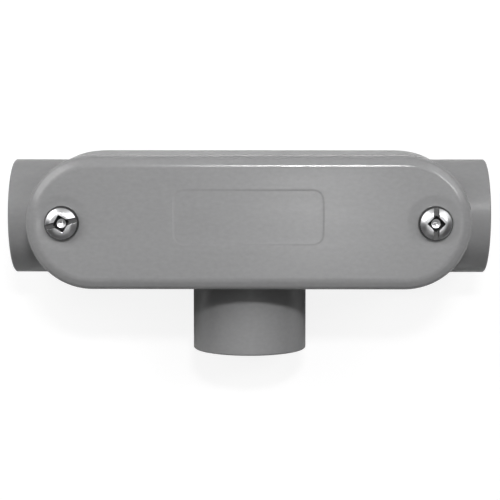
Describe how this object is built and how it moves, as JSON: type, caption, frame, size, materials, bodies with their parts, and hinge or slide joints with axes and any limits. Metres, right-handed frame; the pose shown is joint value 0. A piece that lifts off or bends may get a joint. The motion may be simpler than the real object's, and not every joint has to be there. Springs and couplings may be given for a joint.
{
  "type": "conduit body",
  "caption": "Tee-shaped conduit body: a moulded box with conduit socket hubs on the run and the branch, and a gasketed, domed cover held by pan-head screws.",
  "frame": {"origin": "on the flat back of the box, under the point where the run axis and the branch axis cross", "axes": "+X along the run, -Y out of the branch hub, +Z out of the cover"},
  "size_m": [0.112, 0.0475, 0.0403],
  "materials": {
    "housing_pvc": "fine moulded satin, grey",
    "cover_pvc": "fine moulded satin, grey",
    "gasket_foam": "closed-cell foam",
    "screw_steel": "bright zinc plate"
  },
  "bodies": {
    "housing": {"housing": "housing_pvc", "gasket": "gasket_foam"},
    "cover": {"cover": "cover_pvc"},
    "screw_left": {"screw_left": "screw_steel"},
    "screw_right": {"screw_right": "screw_steel"}
  },
  "joints": [
    {"name": "cover_lift", "type": "slide", "parent": "housing", "child": "cover", "axis": [0, 0, 1], "range_m": [0, 0.04]},
    {"name": "screw_left_out", "type": "slide", "parent": "cover", "child": "screw_left", "axis": [0, 0, 1], "range_m": [0, 0.015]},
    {"name": "screw_right_out", "type": "slide", "parent": "cover", "child": "screw_right", "axis": [0, 0, 1], "range_m": [0, 0.015]}
  ]
}
